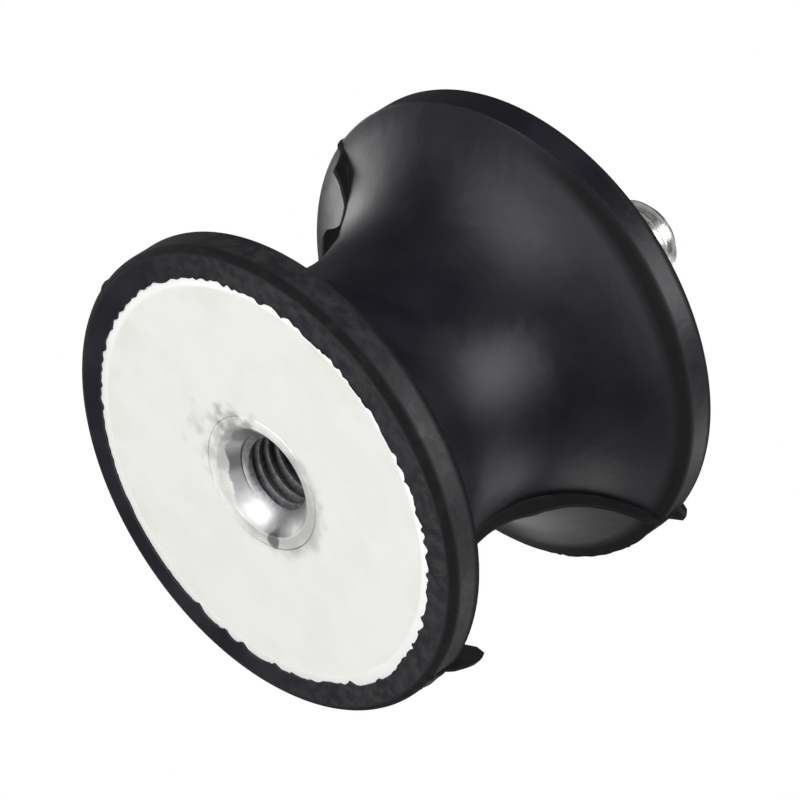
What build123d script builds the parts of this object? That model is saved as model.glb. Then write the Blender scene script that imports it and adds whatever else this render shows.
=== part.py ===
from build123d import *
import math
import os

# Bobbin vibration mount: a waisted rubber body bonded to two round steel plates, with a
# threaded insert in the lower plate and a threaded stud on the upper one.
# Millimetres, +Z up. The origin is the centre of the lower (female) end face, and the
# stud points up.

# --- rubber body ---
flange_d = 57.0            # outside diameter of both rubber flanges
body_h = 43.0              # height between the two end faces
waist_d = 35.0             # smallest diameter, at mid-height
land_h = 3.2               # straight band round the edge of each flange
rim_round = 1.0            # rounded corner between an end face and the band
lip_round = 0.4            # rounded edge between the band and the waist curve

# --- steel plates, bonded flush with the end faces ---
plate_d = 50.6
plate_t = 3.0
plate_edge = 0.5           # rounded rim of a plate on the side that faces the rubber
roll_w = 1.3               # width of the shallow bevel that the press leaves round the outer face
roll_depth = 0.25          # depth of that bevel, which the rubber laps over

# --- threaded insert: a turned bush whose neck is swaged into the female plate ---
bush_neck_d = 16.5         # neck that passes through the plate
neck_groove = 0.35         # chamfer that leaves a fine ring round either neck at its end face
shoulder_d = 20.0          # shoulder bedded in the rubber behind the plate
insert_len = 15.0          # from the end face to the closed end
insert_round = 1.2         # rounded edge of the closed end
tap_d = 8.5                # bore of the M10 thread
tap_depth = 12.0           # depth of the bore below the end face
drill_angle = 118.0        # included angle of the bore's pointed bottom
sink_d = 13.7              # mouth of the countersink
sink_angle = 90.0          # included angle of the countersink

# --- stud ---
stud_d = 10.0              # M10 major diameter
stud_neck_d = 12.0         # plain neck that is swaged into the male plate
stud_reach = 22.0          # length above the upper end face
stud_chamfer = 1.1         # chamfer round the tip
head_d = 20.0              # head bedded in the rubber below the plate
head_t = 5.0
head_round = 1.0           # rounded lower edge of the head

# --- mould flash: a thin fin of rubber in the mould's parting plane, on both sides ---
parting_angle = 57.0       # direction of the parting plane about the axis
flash_h = 1.6              # how far the fin stands out of the waist
flash_band = 0.25          # how far it stands out of the flange bands
flash_t = 0.8
barb_z = 8.3               # tip of the torn barb by the lower flange, above the lower end face
barb_reach = 1.35          # how far that tip stands out past the band
barb_w = 1.9               # width of the barb across its torn tip
tooth_depth = 1.2          # tip of the tooth on the upper band, below the upper end face
tooth_reach = 1.4          # how far that tip stands out of the band
tooth_run = 3.3            # height over which the tooth rises out of the band
tooth_cap = 0.9            # how far the tooth goes on above its tip

# --- places worked out from the sizes above ---
flange_r = flange_d / 2
land_top = rim_round + land_h              # waist edge of the lower band
plate_back = body_h - plate_t              # inner face of the upper plate
ON_BASE = (Align.CENTER, Align.CENTER, Align.MIN)


def cone_height(wide_d, narrow_d, included_angle):
    """Axial length of a cone between two diameters."""
    return (wide_d - narrow_d) / 2 / math.tan(math.radians(included_angle / 2))


def outer_corners(section):
    """Corners of the half section that lie on the flange diameter, from the bottom up."""
    return section.vertices().group_by(Axis.X)[-1].sort_by(Axis.Y)


def waist_curve():
    """Distance from the axis to the centre of the waist's arc, and the arc's radius."""
    sag = (flange_d - waist_d) / 2
    half_chord = body_h / 2 - land_top
    curve_r = (half_chord**2 + sag**2) / (2 * sag)
    return waist_d / 2 + curve_r, curve_r


def bobbin():
    """Outer form of the rubber, solid right through: two banded flanges and a hollowed waist."""
    centre_r, curve_r = waist_curve()
    section = Rectangle(flange_r, body_h, align=(Align.MIN, Align.MIN))
    section = section - Pos(centre_r, body_h / 2) * Circle(curve_r)
    section = fillet(outer_corners(section)[1:-1], lip_round)
    corners = outer_corners(section)
    section = fillet([corners[0], corners[-1]], rim_round)
    return revolve(Plane.XZ * section, Axis.Z)


def patch(*points):
    """Flat face with straight edges through points (distance from the axis, height)."""
    return make_face(Polyline(*points, close=True))


def flash():
    """Flash in the parting plane: a fin up both sides, and a torn barb and a tooth on one."""
    centre_r, curve_r = waist_curve()
    fin = Rectangle(2 * (flange_r + flash_band), body_h - 2 * rim_round)
    for side in (-1, 1):
        fin = fin - Pos(side * centre_r, 0) * Circle(curve_r - flash_h)
    root_r = flange_r - rim_round
    tip_r = flange_r + barb_reach
    barb = patch((root_r, land_top - barb_w), (flange_r + 0.7 * barb_reach, land_top), (tip_r, barb_z - barb_w),
                 (tip_r, barb_z), (tip_r - barb_w, barb_z - barb_w / 4), (root_r, land_top + lip_round))
    tip_z = body_h - tooth_depth
    tooth = patch((root_r, tip_z - tooth_run), (flange_r + tooth_reach, tip_z),
                  (flange_r + tooth_reach / 2, tip_z + tooth_cap), (root_r, tip_z + tooth_cap))
    outline = Pos(0, body_h / 2) * fin + barb + tooth
    return Rot(0, 0, parting_angle) * extrude(Plane.XZ * outline, flash_t / 2, both=True)


def plate(hole_d):
    """Plate with its outer face at height zero and its inner face above it."""
    disc = Cylinder(plate_d / 2, plate_t, align=ON_BASE)
    disc = chamfer(disc.edges().group_by(Axis.Z)[0], roll_depth, roll_w)
    disc = fillet(disc.edges().group_by(Axis.Z)[-1], plate_edge)
    return disc - Cylinder(hole_d / 2, plate_t, align=ON_BASE)


def female_plate():
    return plate(bush_neck_d)


def male_plate():
    return Pos(0, 0, body_h) * Rot(180, 0, 0) * plate(stud_neck_d)


def tapped_hole():
    """Blind bore with a pointed bottom and a countersunk mouth, cut up from height zero."""
    bore = Cylinder(tap_d / 2, tap_depth, align=ON_BASE)
    point = Cone(tap_d / 2, 0, cone_height(tap_d, 0, drill_angle), align=ON_BASE)
    sink = Cone(sink_d / 2, tap_d / 2, cone_height(sink_d, tap_d, sink_angle), align=ON_BASE)
    return bore + Pos(0, 0, tap_depth) * point + sink


def insert_blank():
    """Bush before it is drilled: the neck fills the plate's hole, the shoulder bears on its back."""
    neck = Cylinder(bush_neck_d / 2, plate_t, align=ON_BASE)
    shoulder = Cylinder(shoulder_d / 2, insert_len - plate_t, align=ON_BASE)
    shoulder = fillet(shoulder.edges().group_by(Axis.Z)[-1], insert_round)
    return neck + Pos(0, 0, plate_t) * shoulder


def threaded_insert():
    """Bush with its tapped hole, and with the fine groove round its neck at the end face."""
    blank = insert_blank()
    grooved = chamfer(blank.edges().group_by(Axis.Z)[0], neck_groove)
    return grooved - tapped_hole()


def stud_blank():
    """Neck and head of the stud: the neck fills the plate's hole, the head bears on its back."""
    neck = Cylinder(stud_neck_d / 2, plate_t, align=ON_BASE)
    head = Cylinder(head_d / 2, head_t, align=ON_BASE)
    head = fillet(head.edges().group_by(Axis.Z)[0], head_round)
    return Pos(0, 0, plate_back) * neck + Pos(0, 0, plate_back - head_t) * head


def stud():
    """Headed stud, with the fine groove round its neck where the threaded shank leaves it."""
    blank = stud_blank()
    grooved = chamfer(blank.edges().group_by(Axis.Z)[-1], neck_groove)
    shank = Cylinder(stud_d / 2, stud_reach, align=ON_BASE)
    shank = chamfer(shank.edges().group_by(Axis.Z)[-1], stud_chamfer)
    return grooved + Pos(0, 0, body_h) * shank


def rubber_body(moulded_in):
    """Rubber moulded round the metal: the bobbin and its flash, less every piece inside it."""
    rubber = bobbin() + flash()
    for piece in moulded_in:
        rubber = rubber - piece
    return rubber


pieces = {
    "rubber_body": rubber_body([female_plate(), insert_blank(), male_plate(), stud_blank()]),
    "female_plate": female_plate(),
    "threaded_insert": threaded_insert(),
    "male_plate": male_plate(),
    "stud": stud(),
}

os.makedirs("parts", exist_ok=True)
for name, piece in pieces.items():
    export_step(piece, f"parts/{name}.step")
    print(name, "volume", round(piece.volume, 1), "solids", len(piece.solids()))
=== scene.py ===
"""Looks of the bobbin vibration mount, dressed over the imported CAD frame.

The two plates stay as CAD made them. The rubber, the threaded insert and the stud are
rebuilt as finer meshes: the rubber with its ragged lips and flash, the metal with real
M10 threads. Lengths are in millimetres and become metres where vertices and textures are
made; those of the camera, the lights and the backdrop are in metres.
"""

import math

import bmesh
import bpy
import numpy as np
from mathutils import Matrix, Quaternion, Vector, noise


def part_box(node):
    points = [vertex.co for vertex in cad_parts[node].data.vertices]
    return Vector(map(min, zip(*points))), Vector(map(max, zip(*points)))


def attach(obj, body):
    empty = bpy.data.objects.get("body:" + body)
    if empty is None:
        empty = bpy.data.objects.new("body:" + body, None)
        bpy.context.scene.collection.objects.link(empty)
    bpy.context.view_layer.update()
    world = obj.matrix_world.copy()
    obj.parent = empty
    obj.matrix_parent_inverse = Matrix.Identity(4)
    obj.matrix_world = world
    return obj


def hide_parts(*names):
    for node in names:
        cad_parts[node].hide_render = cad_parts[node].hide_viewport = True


MM = 0.001

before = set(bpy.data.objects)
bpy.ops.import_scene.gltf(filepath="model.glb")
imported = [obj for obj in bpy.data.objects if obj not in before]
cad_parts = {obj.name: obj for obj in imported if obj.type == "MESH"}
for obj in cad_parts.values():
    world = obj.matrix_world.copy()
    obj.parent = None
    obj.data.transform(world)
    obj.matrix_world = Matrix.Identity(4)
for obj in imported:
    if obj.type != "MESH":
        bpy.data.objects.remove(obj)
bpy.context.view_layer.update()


def box_mm(node):
    """Lowest and highest corner of a CAD node, in millimetres."""
    low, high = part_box(node)
    return low / MM, high / MM


# ---------------------------------------------------------------- sizes from the frame
rubber_high = box_mm("rubber_body")[1]
plate_high = box_mm("female_plate")[1]
insert_high = box_mm("threaded_insert")[1]
stud_low, stud_high = box_mm("stud")

FLANGE_R = rubber_high.x
BODY_H = rubber_high.z
PLATE_R = plate_high.x
PLATE_T = plate_high.z
SHOULDER_R = insert_high.x
INSERT_LEN = insert_high.z
HEAD_R = stud_high.x
HEAD_Z = stud_low.z
TIP_Z = stud_high.z

# ---------------------------------------------------------------- sizes of the details
WAIST_R = 17.5
RIM_ROUND = 1.0                # rounded corner between an end face and a flange's band
BAND_TOP = 4.2                 # waist edge of that straight band, from the end face
BAND_ROUND = 0.4               # rounded edge between a band and the waist
BAND_END = BAND_TOP - 0.3      # last row of the band, short of that rounded edge
POCKET_EDGE = 0.5              # rounded rim of a plate on its rubber side
BEVEL_W, BEVEL_DEPTH = 1.3, 0.25  # shallow bevel round a plate's outer face
LIP_R = 24.85                  # mean radius where the rubber's ragged lip ends on the bevel
LIP_EDGE = 0.07                # width of the lip's blunt edge
LIP_FOOT, LIP_RISE = 0.02, 0.03  # a point on the way up that edge: how far out, and how deep
LEAST_COVERED = 0.03           # width of bevel that the lip covers everywhere
LEAST_BARE = 0.05              # width of bevel that it leaves bare everywhere

FLASH_H, FLASH_T = 1.6, 0.8    # how far the fin of flash stands out of the waist, and its width
FLASH_BAND = 0.25              # how far it stands out of a flange's band
FLASH_FOOT = 0.08              # how far the foot of a side of the fin lies outside half its width
FLASH_SIDE = 0.12              # width over which a side falls to the surface
FIN_PEAK, FIN_SPREAD = 26.4, 7.0  # height where the fin stands out most, and how far that reaches
RIDGE_W = 0.35                 # half width of the ridge along a band's waist edge
BARB_Z, BARB_REACH = 8.3, 1.35  # tip of the torn barb by the lower flange
BARB_W, BARB_ROOT = 1.9, 5.5   # its width across the tip, and the length of surface it grows from
TOOTH_DEPTH, TOOTH_REACH = 1.2, 1.4  # tip of the tooth on the upper band
TOOTH_RUN = 3.0                # depth at which the tooth starts, below the upper end face
UPPER_SCRAP, LOWER_SCRAP = 1.5, 1.8  # how far the two scraps of the torn fin stand out
UPPER_SPAN = (33.6, 37.0, 38.5)  # heights where a scrap starts, stands out most and ends
LOWER_SPAN = (26.2, 29.4, 31.0)
TORN_ROOT = 0.12               # how far its torn root stands out between them

THREAD_R, THREAD_PITCH = 5.0, 1.5
STUD_ROOT_R = 4.13             # bottom of the stud's thread
STUD_CREST, STUD_FLANK = 0.1875, 0.502  # lengths along the axis of one turn's crest and flank
NUT_CREST, NUT_FLANK = 0.375, 0.433     # the same for the insert's inner thread
BORE_R, BORE_DEPTH = 4.25, 12.0  # tapped hole of the insert
DRILL_ANGLE = 118.0            # included angle of its pointed bottom
SINK_R, SINK_ROUND = 6.85, 0.12  # mouth of its countersink, and the worn edge there
BUSH_NECK_R, STUD_NECK_R = 8.25, 6.0  # necks of insert and stud, where they pass the plates
INSERT_ROUND, HEAD_ROUND = 1.2, 1.0   # rounded buried edges of insert and stud
GROOVE = 0.2                   # chamfer that leaves a fine ring round either neck
TIP_CHAMFER = 1.1              # chamfer round the stud's tip
THREAD_START = 0.4             # plain length between the upper end face and the stud's thread
THREAD_GROWTH = 1.5            # turns over which that thread reaches its full depth

# ---------------------------------------------------------------- directions, in degrees from +X
PARTING = 57.0                 # the mould's parting plane, on the side of the barb and the tooth
LIP_SHORT, LIP_LONG = 155.0, 332.0  # where the lip covers least and most of the bevel
LIP_CUT, LIP_STEP = 75.0, 93.0  # where a short stretch of the lip is cut back, and where it is long
BURRS = (84.5, 113.0, 125.0, 131.0, 141.0)  # the lip's larger burrs
FRAYED = 84.0                  # where the flanges' waist edges are most ragged
SHADED_SIDE = 27.0                 # where the painted shade on the flanges' waist edges is fullest; they are rougher there too
CLEAN = 185.0                  # where the lower flange carries no dust
RESIDUE = -145.0               # where pale residue covers the countersink's edge


# ---------------------------------------------------------------- mesh tools
ARC_STEPS = 5                  # straight steps along a rounded corner
WELD = 0.002                   # points closer than this become one


def put_in_scene(piece):
    """Links a new object into the scene."""
    bpy.context.scene.collection.objects.link(piece)


def outline(*corners):
    """Points of a half section through corners (r, z, rounding), with arcs at rounded ones."""
    points = []
    for i, (r, z, rounding) in enumerate(corners):
        here = Vector((r, z))
        if not rounding:
            points.append(here)
            continue
        back = (Vector(corners[i - 1][:2]) - here).normalized()
        ahead = (Vector(corners[i + 1][:2]) - here).normalized()
        half = back.angle(ahead) / 2
        centre = here + (back + ahead).normalized() * rounding / math.sin(half)
        start = here + back * rounding / math.tan(half) - centre
        turn = (math.pi - 2 * half) * (1 if back.cross(ahead) < 0 else -1)
        for step in range(ARC_STEPS + 1):
            points.append(centre + Matrix.Rotation(turn * step / ARC_STEPS, 2) @ start)
    return np.array(points)


def wrap_degrees(angles, middle):
    """Signed degrees from a middle direction to each angle."""
    return (np.degrees(angles) - middle + 180) % 360 - 180


def swell(angles, middle, width):
    """Smooth bump of height 1 round a direction, both in degrees."""
    return np.exp(-((wrap_degrees(angles, middle) / width) ** 2))


def ring_noise(angles, waves, seed):
    """Smooth noise round a circle, about -1 to 1; more waves make it busier."""
    spots = [Vector((waves * math.cos(a), waves * math.sin(a), seed)) for a in angles]
    return np.array([noise.noise(spot) for spot in spots])


def grid_faces(rows, columns, closed):
    """Quads of a grid, numbered row by row; a closed grid joins its last column to its first."""
    across = columns if closed else columns - 1
    first = (np.arange(rows - 1)[:, None] * columns + np.arange(across)).ravel()
    step = (np.arange(across) + 1) % columns - np.arange(across)
    beside = first + np.tile(step, rows - 1)
    return np.stack([first, beside, beside + columns, first + columns], 1)


def grid(radii, heights, angles, closed=True):
    """Vertices and faces of a surface given by radius and height over rows and columns."""
    radii, heights, angles = np.broadcast_arrays(radii, heights, angles)
    spots = np.stack([radii * np.cos(angles), radii * np.sin(angles), heights], -1)
    return spots.reshape(-1, 3), grid_faces(*radii.shape, closed)


def weld(name, grids, sharp_angle):
    """One closed mesh object from grids that share their border points."""
    mesh = bpy.data.meshes.new(name)
    vertices, faces, count = [], [], 0
    for spots, quads in grids:
        vertices.append(spots)
        faces.append(quads + count)
        count += len(spots)
    mesh.from_pydata(np.concatenate(vertices) * MM, [], np.concatenate(faces).tolist())
    made = bmesh.new()
    made.from_mesh(mesh)
    bmesh.ops.remove_doubles(made, verts=made.verts, dist=WELD * MM)
    bmesh.ops.dissolve_degenerate(made, edges=made.edges, dist=WELD * MM)
    bmesh.ops.recalc_face_normals(made, faces=made.faces)
    made.to_mesh(mesh)
    made.free()
    mesh.polygons.foreach_set("use_smooth", [True] * len(mesh.polygons))
    mesh.set_sharp_from_angle(angle=math.radians(sharp_angle))
    piece = bpy.data.objects.new(name, mesh)
    put_in_scene(piece)
    return piece


def lathe(section, angles):
    """Grid turned from a half section."""
    return grid(section[:, :1], section[:, 1:], angles)


def thread(low, high, corners, angles, limit):
    """Grid whose rows follow a right-hand helix between two heights.

    corners gives the radius at shares of a pitch, and limit(radius, height) trims it."""
    turn = np.append(angles, 2 * math.pi) / (2 * math.pi)
    shares, radii = np.array(corners).T
    turns = math.ceil((high - low) / THREAD_PITCH) + 1
    rows = (np.arange(-1, turns + 1)[:, None] - 1 + shares).ravel()
    heights = np.clip(low + THREAD_PITCH * (rows[:, None] + turn), low, high)
    phase = (heights - low) / THREAD_PITCH - turn
    radius = limit(np.interp(phase, shares, radii, period=1), heights)
    return grid(radius, heights, turn * 2 * math.pi, closed=False)


# ---------------------------------------------------------------- rubber
COLUMNS = 640                  # steps round the axis
CROWDING = 0.6                 # how far those steps are drawn towards the parting plane
END_FACE_ROWS = 8              # rows from a plate's pocket to the rounded rim
RIM_ROWS, BAND_ROWS, WAIST_ROWS = 8, 10, 62


def crowded(columns, middle, crowding):
    """Angles round a circle, packed closer together on both sides of a plane through the axis."""
    even = np.arange(columns) * 2 * math.pi / columns
    return even - crowding / 2 * np.sin(2 * (even - math.radians(middle)))


def lip_radius(angles, seed):
    """Radius at which the torn edge of the rubber ends on the plate's bevel.

    It wanders in broad sweeps, with a coarse and a fine raggedness, nicks and burrs."""
    short = 0.5 * swell(angles, LIP_SHORT, 55) + 0.7 * swell(angles, LIP_CUT, 11)
    long = 0.75 * swell(angles, LIP_LONG, 38)
    torn = 1 + 0.8 * swell(angles, LIP_LONG + 20, 60)
    coarse = 0.14 * ring_noise(angles, 5, seed) + 0.16 * ring_noise(angles, 11, seed + 1)
    fine = 0.32 * torn * ring_noise(angles, 24, seed + 3)
    nicks = 0.9 * torn * np.clip(ring_noise(angles, 22, seed + 7) - 0.16, 0, 1)
    burrs = sum(0.75 * swell(angles, burr, 1.3) for burr in BURRS)
    burrs = burrs + 0.35 * swell(angles, LIP_STEP, 7)
    ends = np.minimum(LIP_R + short - long + coarse + fine, PLATE_R - LEAST_COVERED) - nicks - burrs
    return np.maximum(ends, PLATE_R - BEVEL_W + LEAST_BARE)


def end_rows(lip_r):
    """Rows from a plate's pocket, over its bevel and lip, to the waist edge of the band.

    The first END_FACE_ROWS of them lie within the flat end face."""
    flat_r = PLATE_R - BEVEL_W
    rows = [(PLATE_R, BEVEL_DEPTH)]
    for share in (0.5, 1.0):
        r = PLATE_R + (lip_r - PLATE_R) * share
        rows.append((r, BEVEL_DEPTH * (r - flat_r) / BEVEL_W))
    rows.append((lip_r + LIP_FOOT, LIP_RISE))
    rows.append((lip_r + LIP_EDGE, 0.0))
    face_r = FLANGE_R - RIM_ROUND
    for share in (0.1, 0.3, 0.6):
        rows.append((lip_r + LIP_EDGE + (face_r - lip_r - LIP_EDGE) * share, 0.0))
    for step in range(RIM_ROWS):
        turn = math.pi / 2 * step / (RIM_ROWS - 1)
        r = face_r + RIM_ROUND * math.sin(turn)
        rows.append((r, RIM_ROUND - RIM_ROUND * math.cos(turn)))
    for z in np.linspace(RIM_ROUND, BAND_END, BAND_ROWS + 1)[1:]:
        rows.append((FLANGE_R, z))
    return rows


def waist_rows():
    """Rows of the hollowed waist and of the rounded lips at its two ends."""
    sag = FLANGE_R - WAIST_R
    half = BODY_H / 2 - BAND_TOP
    curve_r = (half**2 + sag**2) / (2 * sag)
    reach = math.asin(half / curve_r)
    even = np.linspace(-1, 1, WAIST_ROWS)
    crowded_ends = (even + np.sin(even * math.pi / 2)) / 2
    corners = []
    for turn in reach * crowded_ends:
        r = WAIST_R + curve_r * (1 - math.cos(turn))
        corners.append((r, BODY_H / 2 + curve_r * math.sin(turn), 0))
    below = (FLANGE_R, BAND_END, 0)
    above = (FLANGE_R, BODY_H - BAND_END, 0)
    corners[0] = (*corners[0][:2], BAND_ROUND)
    corners[-1] = (*corners[-1][:2], BAND_ROUND)
    return [tuple(point) for point in outline(below, *corners, above)[1:-1]]


def bell(values, middle, width):
    """Smooth bump of height 1."""
    return np.exp(-(((values - middle) / width) ** 2))


def tent(values, start, top, end):
    """Straight rise from 0 to 1 and straight fall back to 0."""
    return np.clip(np.minimum((values - start) / (top - start), (end - values) / (end - top)), 0, 1)


def ragged(values, waves, seed):
    """Noise along a line, about -1 to 1."""
    return np.array([noise.noise(Vector((value * waves, seed, 0.5))) for value in values])


def fin_steps(r, z, stand):
    """Radial and axial steps that carry each row out by a distance square to the surface."""
    out = np.stack([np.gradient(z), -np.gradient(r)])
    fade = np.clip(np.minimum(z, BODY_H - z) / RIM_ROUND, 0, 1)
    return out / np.hypot(*out) * stand * fade


def barbed_fin(r, z):
    """Steps to the edge of the fin that ends in the torn barb and the tooth."""
    on_waist = np.clip((FLANGE_R - r) / 1.2, 0, 1)
    stand = FLASH_H * (0.55 + 0.45 * bell(z, FIN_PEAK, FIN_SPREAD))
    stand = stand * (1 + 0.12 * ragged(z, 0.6, 1.5))
    steps = fin_steps(r, z, FLASH_BAND + (stand - FLASH_BAND) * on_waist)
    tip_r = FLANGE_R + BARB_REACH
    # outline of the barb, from its root on the band, over its torn tip, to its root on the waist
    barb = [
        (FLANGE_R + FLASH_BAND, BAND_TOP - 1.3),
        (tip_r - 0.55, BAND_TOP - 0.2),
        (tip_r + 0.1, BARB_Z - 2),
        (tip_r, BARB_Z),
        (tip_r - BARB_W, BARB_Z - 0.5),
        (FLANGE_R, BAND_TOP + 1.2),
        (FLANGE_R - 1, BAND_TOP + 2),
    ]
    along = np.cumsum(np.hypot(np.gradient(r), np.gradient(z)))
    corner = (along - along[np.argmax(z > BAND_TOP - 1.3)]) / BARB_ROOT * (len(barb) - 1)
    target = [np.interp(corner, range(len(barb)), value) for value in zip(*barb)]
    steps = np.where((corner > 0) & (corner < len(barb) - 1), target - np.stack([r, z]), steps)
    tooth = tent(z, BODY_H - TOOTH_RUN, BODY_H - TOOTH_DEPTH, BODY_H + 0.6)
    reach = (TOOTH_REACH + FLANGE_R - r) * tooth * (z < BODY_H - 0.25) * (r > FLANGE_R - 1)
    return np.stack([np.maximum(steps[0], reach), steps[1]])


def torn_fin(r, z):
    """Steps to the edge of the fin on the other side, where only two scraps of it are left."""
    upper = UPPER_SCRAP * tent(z, *UPPER_SPAN)
    lower = LOWER_SCRAP * tent(z, *LOWER_SPAN)
    stand = np.maximum(TORN_ROOT, upper + lower) * (1 + 0.15 * ragged(z, 0.7, 8.5))
    return fin_steps(r, z, np.where(r > FLANGE_R - 0.4, FLASH_BAND, stand))


def with_fin(radii, heights, angles, rows, direction, section):
    """Lifts a thin fin out of some rows of a surface in one direction, in place."""
    r, z = radii[rows], heights[rows]
    steps = section(r[:, 0], z[:, 0])
    aside = np.radians(wrap_degrees(angles, direction)) * r
    share = np.clip((FLASH_T / 2 + FLASH_FOOT - np.abs(aside)) / FLASH_SIDE, 0, 1)
    radii[rows] = r + share * steps[0][:, None]
    heights[rows] = z + share * steps[1][:, None]


def with_flash(radii, heights, angles, edge_z):
    """Radii with the uneven ridge that the mould leaves along a band's waist edge."""
    near = bell(heights, edge_z, RIDGE_W) * (radii > FLANGE_R - 1.5)
    frayed = 0.04 + 0.25 * swell(angles, FRAYED, 22) * (0.6 + ring_noise(angles, 16, 2.5))
    burrs = 0.45 * np.clip(ring_noise(angles, 40, 9.5) - 0.3, 0, 1)
    return radii + near * np.clip(frayed + burrs * swell(angles, FRAYED, 36), 0, None)


def rubber_mesh():
    """Rubber from axis to axis: round the insert, over both flanges, round the stud's head."""
    angles = crowded(COLUMNS, PARTING, CROWDING)
    plate_back = BODY_H - PLATE_T
    behind_insert = outline(
        (0, INSERT_LEN, 0),
        (SHOULDER_R, INSERT_LEN, INSERT_ROUND),
        (SHOULDER_R, PLATE_T, 0),
        (PLATE_R, PLATE_T, POCKET_EDGE),
        (PLATE_R, BEVEL_DEPTH, 0),
    )[:-1]
    behind_stud = outline(
        (PLATE_R, BODY_H - BEVEL_DEPTH, 0),
        (PLATE_R, plate_back, POCKET_EDGE),
        (HEAD_R, plate_back, 0),
        (HEAD_R, HEAD_Z, HEAD_ROUND),
        (0, HEAD_Z, 0),
    )[1:]
    lower = end_rows(lip_radius(angles, 1.0))
    upper = [(r, BODY_H - z) for r, z in reversed(end_rows(lip_radius(angles, 21.0)))]
    rows = [*map(tuple, behind_insert), *lower, *waist_rows(), *upper]
    rows += map(tuple, behind_stud)
    shape = (len(rows), COLUMNS)
    radii, heights = np.empty(shape), np.empty(shape)
    for row, (r, z) in enumerate(rows):
        radii[row], heights[row] = r, z
    first = len(behind_insert) + END_FACE_ROWS
    outer = slice(first, len(rows) - len(behind_stud) - END_FACE_ROWS)
    for edge_z in (BAND_TOP, BODY_H - BAND_TOP):
        radii = with_flash(radii, heights, angles, edge_z)
    with_fin(radii, heights, angles, outer, PARTING, barbed_fin)
    with_fin(radii, heights, angles, outer, PARTING + 180, torn_fin)
    return weld("rubber", [grid(radii, heights, angles)], 40)


# ---------------------------------------------------------------- threaded metal
STEPS = 192                    # steps round the axis
TURNED = np.arange(STEPS) * 2 * math.pi / STEPS


def ridge(crest_w, flank_w, crest_r, root_r):
    """Radius of a thread at shares of its pitch, from the middle of one crest to the next."""
    crest = crest_w / THREAD_PITCH / 2
    flank = flank_w / THREAD_PITCH
    middle = (crest_r + root_r) / 2
    return [
        (crest, crest_r),
        (crest + flank / 2, middle),
        (crest + flank, root_r),
        (1 - crest - flank, root_r),
        (1 - crest - flank / 2, middle),
        (1 - crest, crest_r),
    ]


def insert_mesh():
    """Insert with its countersink and M10 thread."""
    corners = ridge(NUT_CREST, NUT_FLANK, BORE_R, THREAD_R)
    mouth_z = SINK_R - THREAD_R    # the countersink narrows at 45 degrees
    fade_z = BORE_DEPTH - THREAD_PITCH

    def limit(radius, heights):
        """Thread that fades out before the bore ends, and is cut away by the countersink."""
        deep = np.clip((fade_z - heights) / THREAD_PITCH, 0, 1)
        return np.maximum(BORE_R + (radius - BORE_R) * deep, SINK_R - heights)

    neck_r = BUSH_NECK_R
    outside = outline(
        (0, INSERT_LEN, 0),
        (SHOULDER_R, INSERT_LEN, INSERT_ROUND),
        (SHOULDER_R, PLATE_T, 0),
        (neck_r, PLATE_T, 0),
        (neck_r, GROOVE, 0),
        (neck_r - GROOVE, 0, 0),
        (SINK_R, 0, SINK_ROUND),
        (THREAD_R, mouth_z, 0),
    )
    point = BORE_R / math.tan(math.radians(DRILL_ANGLE / 2))
    inside = outline((BORE_R, fade_z, 0), (BORE_R, BORE_DEPTH, 0), (0, BORE_DEPTH + point, 0))
    helix = thread(mouth_z, fade_z, corners, TURNED, limit)
    return weld("insert", [lathe(outside, TURNED), helix, lathe(inside, TURNED)], 30)


def stud_mesh():
    """Stud with its M10 thread, chamfered tip and plain neck at the plate."""
    corners = ridge(STUD_CREST, STUD_FLANK, THREAD_R, STUD_ROOT_R)

    def limit(radius, heights):
        """Thread that starts plain at the plate, and is cut away by the tip's chamfer."""
        above = heights - BODY_H - THREAD_START
        deep = np.clip(above / (THREAD_GROWTH * THREAD_PITCH), 0, 1)
        tip = THREAD_R - TIP_CHAMFER + TIP_Z - heights
        return np.minimum(THREAD_R + (radius - THREAD_R) * deep, tip)

    neck_r = STUD_NECK_R
    plate_back = BODY_H - PLATE_T
    outside = outline(
        (0, HEAD_Z, 0),
        (HEAD_R, HEAD_Z, HEAD_ROUND),
        (HEAD_R, plate_back, 0),
        (neck_r, plate_back, 0),
        (neck_r, BODY_H - GROOVE, 0),
        (neck_r - GROOVE, BODY_H, 0),
        (THREAD_R, BODY_H, 0),
    )
    end = outline((THREAD_R - TIP_CHAMFER, TIP_Z, 0), (0, TIP_Z, 0))
    helix = thread(BODY_H, TIP_Z, corners, TURNED, limit)
    return weld("stud_threaded", [lathe(outside, TURNED), helix, lathe(end, TURNED)], 30)


# ---------------------------------------------------------------- materials
RUBBER, RUBBER_BLOOM = (0.0075, 0.007, 0.012), (0.014, 0.013, 0.019)
# the second colour on the next line is the near-black of painted shade on the rims, band edges and
# parting line
RUBBER_DUST, RUBBER_PAINTED_SHADE = (0.032, 0.032, 0.031), (0.004, 0.004, 0.005)
ZINC, ZINC_CLOUD = (0.94, 0.94, 0.90), (0.88, 0.88, 0.85)
ZINC_STAIN, ZINC_BEVEL = (0.80, 0.79, 0.68), (1.0, 1.0, 0.98)
ZINC_FLECK = (0.55, 0.55, 0.53)
# grey of the greasy smears and of the darker ring round the lower hole
HOLE_GREY = (0.13, 0.14, 0.13)
SINK_LIGHT, SINK_SHADE = (0.66, 0.66, 0.66), (0.54, 0.54, 0.55)
# colours of the darker steel inside the insert's bore
BORE_DARK, BORE_LIGHT = (0.16, 0.16, 0.17), (0.30, 0.30, 0.31)
STEEL, STEEL_LIGHT = (0.74, 0.74, 0.72), (0.90, 0.90, 0.88)
RING_PITCH = 0.16              # distance between the fine rings that turning leaves


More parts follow.
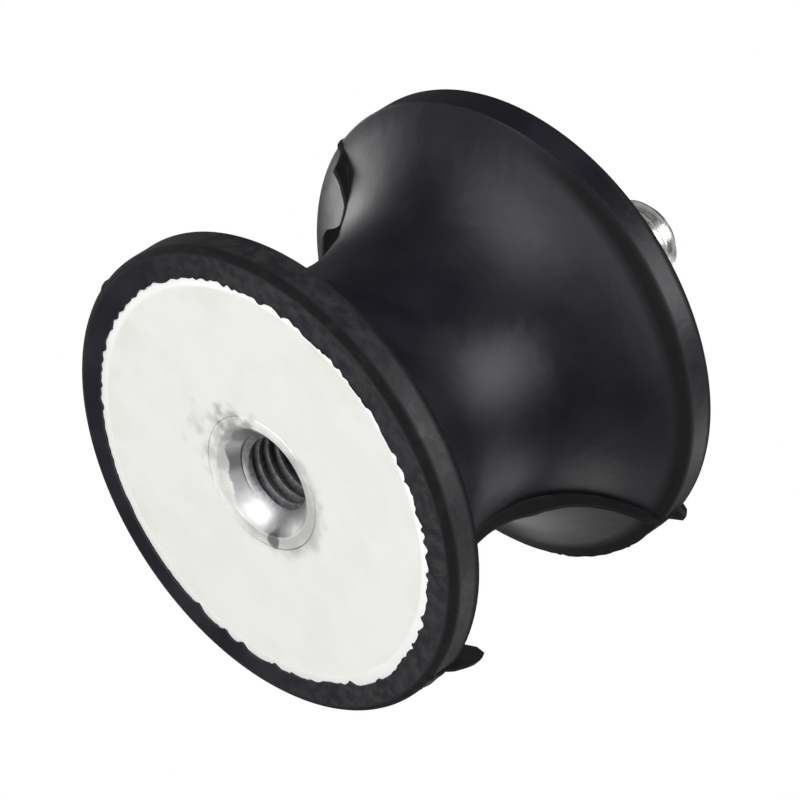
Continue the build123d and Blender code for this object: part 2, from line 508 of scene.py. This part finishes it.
class Finish:
    """A node material that is built up a texture at a time."""

    def __init__(self, name, **sockets):
        """Material of that name, with values set on the shader's own sockets."""
        self.material = bpy.data.materials.new(name)
        self.material.use_nodes = True
        self.tree = self.material.node_tree
        self.shader = self.tree.nodes["Principled BSDF"]
        for socket, value in sockets.items():
            self.shader.inputs[socket.replace("_", " ")].default_value = value
        self.place = self.add("ShaderNodeTexCoord").outputs["Object"]

    def add(self, kind, inputs=None, **settings):
        """New node with settings, whose inputs are linked to sockets or set to values."""
        made = self.tree.nodes.new(kind)
        for name, value in settings.items():
            setattr(made, name, value)
        for key, value in (inputs or {}).items():
            if isinstance(value, bpy.types.NodeSocket):
                self.tree.links.new(value, made.inputs[key])
            else:
                made.inputs[key].default_value = value
        return made

    def noise(self, size_mm, detail=2.0, roughness=0.5):
        """Noise whose features are about that size."""
        inputs = {
            "Vector": self.place,
            "Scale": 1 / (size_mm * MM),
            "Detail": detail,
            "Roughness": roughness,
        }
        return self.add("ShaderNodeTexNoise", inputs).outputs["Fac"]

    def spread(self, value, low, high, low_to, high_to, smooth=False):
        """Value mapped from one range to another, and held at its ends."""
        inputs = {"Value": value, "From Min": low, "From Max": high}
        inputs.update({"To Min": low_to, "To Max": high_to})
        kind = "SMOOTHSTEP" if smooth else "LINEAR"
        made = self.add("ShaderNodeMapRange", inputs, interpolation_type=kind)
        return made.outputs["Result"]

    def blend(self, share, first, second):
        """Colour between two colours."""
        made = self.add("ShaderNodeMix", data_type="RGBA")
        self.tree.links.new(share, made.inputs["Factor"])
        for socket, value in ((made.inputs[6], first), (made.inputs[7], second)):
            if isinstance(value, bpy.types.NodeSocket):
                self.tree.links.new(value, socket)
            else:
                socket.default_value = (*value, 1)
        return made.outputs[2]

    def math(self, operation, first, second=0.0):
        """Result of a sum on values or sockets."""
        return self.add("ShaderNodeMath", {0: first, 1: second}, operation=operation).outputs[0]

    def radius(self):
        """Distance from the part's axis, in millimetres."""
        scaled = {0: self.place, 1: (1 / MM, 1 / MM, 0)}
        flat = self.add("ShaderNodeVectorMath", scaled, operation="MULTIPLY").outputs[0]
        return self.add("ShaderNodeVectorMath", {0: flat}, operation="LENGTH").outputs["Value"]

    def along(self, degrees):
        """Distance from the part's axis in a direction, in millimetres."""
        turn = math.radians(degrees)
        way = {0: self.place, 1: (math.cos(turn) / MM, math.sin(turn) / MM, 0)}
        return self.add("ShaderNodeVectorMath", way, operation="DOT_PRODUCT").outputs["Value"]

    def height(self):
        """Height above the lower end face, in millimetres."""
        split = self.add("ShaderNodeSeparateXYZ", {0: self.place})
        return self.math("DIVIDE", split.outputs["Z"], MM)

    def near(self, x, y, full, none, broken, most):
        """Share that falls from its most to 0 between two distances from a spot, unevenly."""
        scaled = {0: self.place, 1: (1 / MM, 1 / MM, 0), 2: (-x, -y, 0)}
        away = self.add("ShaderNodeVectorMath", scaled, operation="MULTIPLY_ADD").outputs[0]
        length = self.add("ShaderNodeVectorMath", {0: away}, operation="LENGTH").outputs["Value"]
        uneven = self.spread(self.noise(2.2), 0.3, 0.7, -broken, broken)
        return self.spread(self.math("ADD", length, uneven), full, none, most, 0, smooth=True)

    def bump(self, height, depth_mm, normal=None):
        """Normal bent by a height whose full range stands that deep."""
        inputs = {"Height": height, "Distance": depth_mm * MM, "Strength": 1.0}
        if normal:
            inputs["Normal"] = normal
        return self.add("ShaderNodeBump", inputs).outputs["Normal"]

    def link(self, **sockets):
        """Joins sockets to the shader's inputs."""
        for socket, value in sockets.items():
            self.tree.links.new(value, self.shader.inputs[socket.replace("_", " ")])
        return self.material


def rubber_finish():
    """Moulded black rubber: patches of bloom, a fine grain, a dusty, worn lower flange, and painted
    shade on the rounded rims, the bands' waist edges and along the parting line.
    """
    finish = Finish("moulded_rubber", IOR=1.4)
    patches = finish.noise(9.0, 3.0, 0.55)
    pebble = finish.noise(1.5, 4.0, 0.62)
    grain = finish.noise(0.17, 3.0, 0.6)
    ripple = finish.noise(2.2)
    height = finish.height()
    flange = finish.spread(finish.radius(), LIP_R - 1, LIP_R, 0, 1)
    worn = finish.math("MULTIPLY", flange, finish.spread(height, BAND_TOP, BAND_TOP + 2, 1, 0))
    worn = finish.math("MULTIPLY", worn, finish.spread(finish.along(CLEAN), -5, 15, 1, 0))
    bloom = finish.spread(patches, 0.35, 0.7, 0, 1, smooth=True)
    colour = finish.blend(bloom, RUBBER, RUBBER_BLOOM)
    dusty = finish.spread(pebble, 0.4, 0.64, 0.1, 0.7, smooth=True)
    colour = finish.blend(finish.math("MULTIPLY", worn, dusty), colour, RUBBER_DUST)
    from_end = finish.math("MINIMUM", height, finish.math("SUBTRACT", BODY_H, height))
    # painted shade, which also makes the rubber rougher: the rounded rims, the waist edges of the
    # bands on one side, and a strip along the parting line
    # painted shade on the rounded rim between each end face and its band
    corner = finish.spread(finish.radius(), FLANGE_R - 1.1, FLANGE_R - 0.6, 0, 1)
    corner = finish.math("MULTIPLY", corner, finish.spread(from_end, 0.7, 1.3, 1, 0))
    # painted shade along the waist edge of each band, fullest on one side
    brow_shade = finish.spread(finish.radius(), FLANGE_R - 2.2, FLANGE_R - 1.0, 0, 1)
    past_band = finish.spread(from_end, BAND_TOP - 0.9, BAND_END, 0, 1)
    brow_shade = finish.math("MULTIPLY", brow_shade, past_band)
    brow_shade = finish.math("MULTIPLY", brow_shade, finish.spread(finish.along(SHADED_SIDE), 2, 12, 0.15, 1))
    # painted shadow of the fin: a dark strip on both sides of the parting line, away from the end
    # faces
    from_parting = finish.math("ABSOLUTE", finish.along(PARTING + 90))
    fin_shadow = finish.spread(from_parting, FLASH_T / 2 + 0.05, FLASH_T / 2 + 0.3, 1, 0)
    fin_shadow = finish.math("MULTIPLY", fin_shadow, finish.spread(from_end, 0.6, 1.6, 0, 1))
    painted_shade = finish.math("MAXIMUM", finish.math("MAXIMUM", corner, brow_shade), fin_shadow)
    # painted shade: the colour goes near-black on those rims, edges and the strip by the fin
    colour = finish.blend(painted_shade, colour, RUBBER_PAINTED_SHADE)
    rough = finish.spread(patches, 0.3, 0.7, 0.36, 0.46)
    coarse = finish.math("MULTIPLY", worn, finish.spread(pebble, 0.35, 0.65, 0, 0.22))
    rough = finish.math("ADD", rough, coarse)
    rough = finish.math("ADD", rough, finish.math("MULTIPLY", painted_shade, 0.45))
    normal = finish.bump(ripple, 0.05)
    normal = finish.bump(finish.math("MULTIPLY", pebble, flange), 0.035, normal)
    normal = finish.bump(grain, 0.012, normal)
    return finish.link(Base_Color=colour, Roughness=rough, Normal=normal)


def grease_and_halo(finish):
    """Share of grey over the edge of the lower hole: greasy smears, most of them on one side, and a
    darker ring just beyond the countersink.
    """
    outside = finish.spread(finish.radius(), 6.1, 6.8, 0, 1)
    # each smear's spot (x, y), the distances where it is full and gone, its unevenness, its most
    smears = (
        finish.near(-1.2, -5.8, 1.2, 4.3, 1.6, 0.66),
        finish.near(-3.4, -3.6, 1.5, 6.6, 2.6, 0.34),
        finish.near(-1.7, 7.0, 0.6, 1.5, 0.3, 0.95),
        # a darker ring round the hole just beyond the countersink, centred a little off the axis
        finish.math("MULTIPLY", finish.near(0.8, 1.0, 6.3, 8.9, 0.6, 0.5), outside),
    )
    most = smears[0]
    for smear in smears[1:]:
        most = finish.math("MAXIMUM", most, smear)
    low = finish.spread(finish.height(), 0.5 * BODY_H, 0.6 * BODY_H, 1, 0)
    return finish.math("MULTIPLY", low, most)


def zinc_finish():
    """Pale matt zinc plating, mottled and stained towards its rim, with a clean bevel."""
    finish = Finish("pale_zinc", Metallic=0.2)
    cloud = finish.noise(11.0, 3.0, 0.55)
    speck = finish.noise(0.7, 3.0, 0.65)
    frost = finish.noise(0.12, 2.0, 0.6)
    colour = finish.blend(finish.spread(cloud, 0.35, 0.65, 0, 1, smooth=True), ZINC, ZINC_CLOUD)
    flat_r = PLATE_R - BEVEL_W
    edge = finish.spread(finish.radius(), PLATE_R - 5, flat_r - 0.3, 0, 1, smooth=True)
    patchy = finish.math("MULTIPLY", edge, finish.spread(cloud, 0.45, 0.65, 0, 1))
    colour = finish.blend(finish.math("MULTIPLY", patchy, 0.35), colour, ZINC_STAIN)
    bevel = finish.spread(finish.radius(), flat_r - 0.3, flat_r, 0, 1)
    colour = finish.blend(bevel, colour, ZINC_BEVEL)
    fleck = finish.spread(speck, 0.66, 0.74, 0, 0.35)
    colour = finish.blend(fleck, colour, ZINC_FLECK)
    colour = finish.blend(grease_and_halo(finish), colour, HOLE_GREY)
    rough = finish.spread(cloud, 0.35, 0.65, 0.42, 0.5)
    normal = finish.bump(speck, 0.006)
    normal = finish.bump(frost, 0.003, normal)
    return finish.link(Base_Color=colour, Roughness=rough, Normal=normal)


def turned_finish():
    """Bright turned steel with fine rings about the axis."""
    finish = Finish("turned_zinc_steel", Metallic=1.0)
    turns = finish.math("MULTIPLY", finish.radius(), 2 * math.pi / RING_PITCH)
    rings = finish.math("SINE", turns)
    wander = finish.noise(0.5)
    dull = finish.noise(2.5, 3.0, 0.6)
    colour = finish.blend(finish.spread(dull, 0.35, 0.65, 0, 1), STEEL, STEEL_LIGHT)
    rough = finish.spread(dull, 0.3, 0.7, 0.22, 0.34)
    normal = finish.bump(finish.math("ADD", rings, wander), 0.0015)
    return finish.link(Base_Color=colour, Roughness=rough, Normal=normal)


def insert_finish():
    """Pale zinc on the insert's end face, bright steel in its countersink, darker steel inside the
    bore.
    """
    finish = Finish("insert_zinc")
    cloud = finish.noise(3.0, 3.0, 0.6)
    speck = finish.noise(0.6, 3.0, 0.6)
    depth = finish.height()
    residue = finish.spread(finish.along(RESIDUE), 2.0, 6.0, 0, 0.9, smooth=True)
    residue = finish.math("MULTIPLY", residue, finish.spread(cloud, 0.35, 0.6, 0.3, 1))
    sink = finish.spread(finish.math("SUBTRACT", depth, residue), 0.05, 0.2, 0, 1)
    bright = finish.blend(finish.spread(cloud, 0.4, 0.6, 0, 1), SINK_LIGHT, SINK_SHADE)
    pale = finish.blend(sink, ZINC, bright)
    pale = finish.blend(grease_and_halo(finish), pale, HOLE_GREY)
    # darker steel colour from a little way down the bore
    inside = finish.spread(depth, 1.6, 2.5, 0, 1)
    dark = finish.blend(finish.spread(speck, 0.35, 0.65, 0, 1), BORE_DARK, BORE_LIGHT)
    colour = finish.blend(inside, pale, dark)
    metal = finish.spread(sink, 0, 1, 0.2, 0.92)
    rough = finish.spread(sink, 0, 1, 0.45, 0.36)
    rough = finish.math("ADD", rough, finish.math("MULTIPLY", inside, 0.2))
    normal = finish.bump(speck, 0.01)
    return finish.link(Base_Color=colour, Metallic=metal, Roughness=rough, Normal=normal)


# ---------------------------------------------------------------- pieces
def dress(piece, node, finish):
    """Piece takes a CAD node's place and a finish."""
    piece.data.materials.append(finish)
    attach(piece, "root")
    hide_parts(node)


dress(rubber_mesh(), "rubber_body", rubber_finish())
dress(insert_mesh(), "threaded_insert", insert_finish())
dress(stud_mesh(), "stud", turned_finish())

zinc = zinc_finish()
for node in ("female_plate", "male_plate"):
    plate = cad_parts[node]
    plate.data.materials.clear()
    plate.data.materials.append(zinc)


# ---------------------------------------------------------------- camera
def sight(azimuth, elevation):
    """Unit vector from the part towards a camera at that azimuth and elevation."""
    a, e = math.radians(azimuth), math.radians(elevation)
    return Vector((math.sin(a) * math.cos(e), -math.cos(a) * math.cos(e), math.sin(e)))


AIM = Vector((9.65, -3.1, 14.55)) * MM  # the spot in the middle of the picture
AZIMUTH, ELEVATION, ROLL = 69.35, -36.12, 57.35
DISTANCE = 0.658               # metres from that spot to the camera
LENS, SENSOR = 270, 36

to_camera = sight(AZIMUTH, ELEVATION)
camera = bpy.data.objects.new("camera", bpy.data.cameras.new("camera"))
camera.data.lens = LENS
camera.data.sensor_width = SENSOR
camera.data.clip_start, camera.data.clip_end = 0.05, 10
camera.location = AIM + to_camera * DISTANCE
camera.rotation_mode = "QUATERNION"
roll = Quaternion((0, 0, 1), math.radians(ROLL))
camera.rotation_quaternion = (-to_camera).to_track_quat("-Z", "Y") @ roll
put_in_scene(camera)
bpy.context.scene.camera = camera

# ---------------------------------------------------------------- light and stage
centre = Vector((0, 0, BODY_H / 2 * MM))
AMBIENT = 0.10                 # strength of the even light from all round
DOME_R, FLOOR_R, FLOOR_Z = 3.0, 2.8, -0.9  # sizes of the backdrop, in metres
FLOOR_PALE = (0.90, 0.90, 0.89)


def softbox(name, direction, distance, width, height, radiance):
    """Rectangular light that faces the part from a direction; lengths are in metres."""
    lamp = bpy.data.lights.new(name, "AREA")
    lamp.shape = "RECTANGLE"
    lamp.size, lamp.size_y = width, height
    lamp.energy = radiance * math.pi * width * height
    light = bpy.data.objects.new(name, lamp)
    direction = Vector(direction).normalized()
    light.location = centre + direction * distance
    light.rotation_mode = "QUATERNION"
    light.rotation_quaternion = direction.to_track_quat("Z", "Y")
    light.visible_camera = False
    put_in_scene(light)


def in_view(right, up, near):
    """World direction given by its parts along the camera's right, up and back."""
    return camera.rotation_quaternion @ Vector((right, up, near))


# name, direction, then distance, width and height in metres, and radiance
softbox("key", in_view(-0.52, 0.46, 0.72), 0.8, 0.75, 0.60, 2.6)
softbox("side", in_view(0.90, 0.19, 0.39), 0.8, 0.45, 0.75, 4.6)
softbox("face", (0, 0, -1), 0.6, 0.60, 0.60, 2.25)
softbox("front", in_view(-0.20, 0.35, 0.91), 0.8, 0.60, 0.60, 1.0)
softbox("floor_card", in_view(0.30, -0.92, -0.26), 0.8, 0.40, 0.40, 1.2)
softbox("table", in_view(-0.17, -0.92, -0.35), 0.5, 0.45, 0.45, 0.6)
softbox("back", in_view(0.06, -0.50, -0.86), 0.8, 0.35, 0.35, 0.85)
softbox("band", in_view(0.75, -0.42, -0.50), 0.8, 0.40, 0.40, 1.3)
softbox("rim", in_view(-0.65, 0.20, -0.73), 0.8, 0.30, 0.50, 3.5)
softbox("rim_left", in_view(-0.80, 0.28, -0.53), 0.8, 0.40, 0.70, 0.5)


def glow(name, colour):
    """Material that shows the camera one plain colour."""
    made = bpy.data.materials.new(name)
    made.use_nodes = True
    shader = made.node_tree.nodes["Principled BSDF"]
    shader.inputs["Base Color"].default_value = (0, 0, 0, 1)
    shader.inputs["Specular IOR Level"].default_value = 0
    shader.inputs["Emission Color"].default_value = (*colour, 1)
    shader.inputs["Emission Strength"].default_value = 1.0
    return made


def backdrop(name, finish, shape):
    """Stage piece that only the camera sees, so that it adds no light to the part."""
    mesh = bpy.data.meshes.new(name)
    made = bmesh.new()
    shape(made)
    made.to_mesh(mesh)
    made.free()
    piece = bpy.data.objects.new(name, mesh)
    mesh.materials.append(finish)
    piece.visible_diffuse = False
    piece.visible_glossy = False
    piece.visible_transmission = False
    piece.visible_shadow = False
    put_in_scene(piece)


def dome_shape(made):
    """White sphere round the whole scene."""
    bmesh.ops.create_uvsphere(made, u_segments=64, v_segments=32, radius=DOME_R)


def floor_shape(made):
    """Disc well below the part."""
    place = Matrix.Translation((0, 0, FLOOR_Z))
    bmesh.ops.create_circle(made, cap_ends=True, segments=96, radius=FLOOR_R, matrix=place)


backdrop("dome", glow("white_paper", (1, 1, 1)), dome_shape)
backdrop("floor", glow("pale_floor", FLOOR_PALE), floor_shape)

world = bpy.data.worlds.new("studio")
world.use_nodes = True
world.node_tree.nodes["Background"].inputs["Color"].default_value = (1, 1, 1, 1)
world.node_tree.nodes["Background"].inputs["Strength"].default_value = AMBIENT
bpy.context.scene.world = world
bpy.context.scene.view_settings.view_transform = "Standard"
